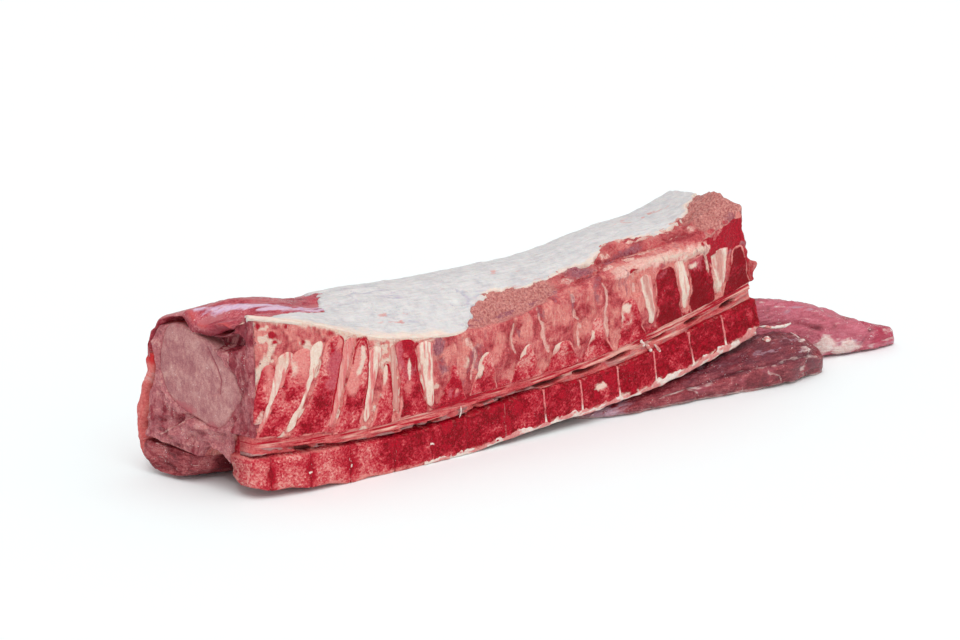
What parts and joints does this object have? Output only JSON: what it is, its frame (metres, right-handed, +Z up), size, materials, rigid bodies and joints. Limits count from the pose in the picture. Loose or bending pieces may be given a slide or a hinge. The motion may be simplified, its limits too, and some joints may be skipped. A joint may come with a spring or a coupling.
{
  "type": "raw bone-in pork loin roast",
  "caption": "Whole raw bone-in pork loin sawn along the backbone, fat cap on top and the tapering tenderloin tucked under one end.",
  "frame": {"origin": "middle of the bounding box's base, on the table", "axes": "+X along the loin from its cut end towards the tenderloin's tip, +Y back from the sawn face, +Z up"},
  "size_m": [0.6412, 0.1296, 0.1501],
  "materials": {
    "loin_meat": "moist cut lean, salmon to dark red",
    "eye_meat": "fine-grained greyish pink lean",
    "dark_meat": "dark red lean under lilac silverskin",
    "side_meat": "coral red lean with pale membrane",
    "flap_meat": "coarse moist lean",
    "fat": "off-white fat with a slight sheen",
    "bone": "sawn spongy bone, red marrow with pink growth lines",
    "disc": "dark red with white specks",
    "ligament": "cream gristle",
    "tenderloin_meat": "wet burgundy lean with white fat bits"
  },
  "bodies": {
    "root": {"loin_meat": "loin_meat", "loin_eye": "eye_meat", "cap_muscle": "dark_meat", "fat_cover": "fat", "side_muscle": "side_meat", "rib_flap": "flap_meat", "spine_00": "bone", "vertebra_01": "bone", "vertebra_02": "bone", "vertebra_03": "bone", "vertebra_04": "bone", "vertebra_05": "bone", "vertebra_06": "bone", "vertebra_07": "bone", "vertebra_08": "bone", "vertebra_09": "bone", "vertebra_10": "bone", "vertebra_11": "bone", "vertebra_12": "bone", "vertebra_13": "bone", "vertebra_14": "bone", "disc_01": "disc", "disc_02": "disc", "disc_03": "disc", "disc_04": "disc", "disc_05": "disc", "disc_06": "disc", "disc_07": "disc", "disc_08": "disc", "disc_09": "disc", "disc_10": "disc", "disc_11": "disc", "disc_12": "disc", "disc_13": "disc", "ligament_01": "ligament", "ligament_02": "ligament", "ligament_03": "ligament", "ligament_04": "ligament", "ligament_05": "ligament", "ligament_06": "ligament", "ligament_07": "ligament", "ligament_08": "ligament", "ligament_09": "ligament", "tenderloin": "tenderloin_meat", "tenderloin_lobe": "tenderloin_meat"}
  },
  "joints": []
}
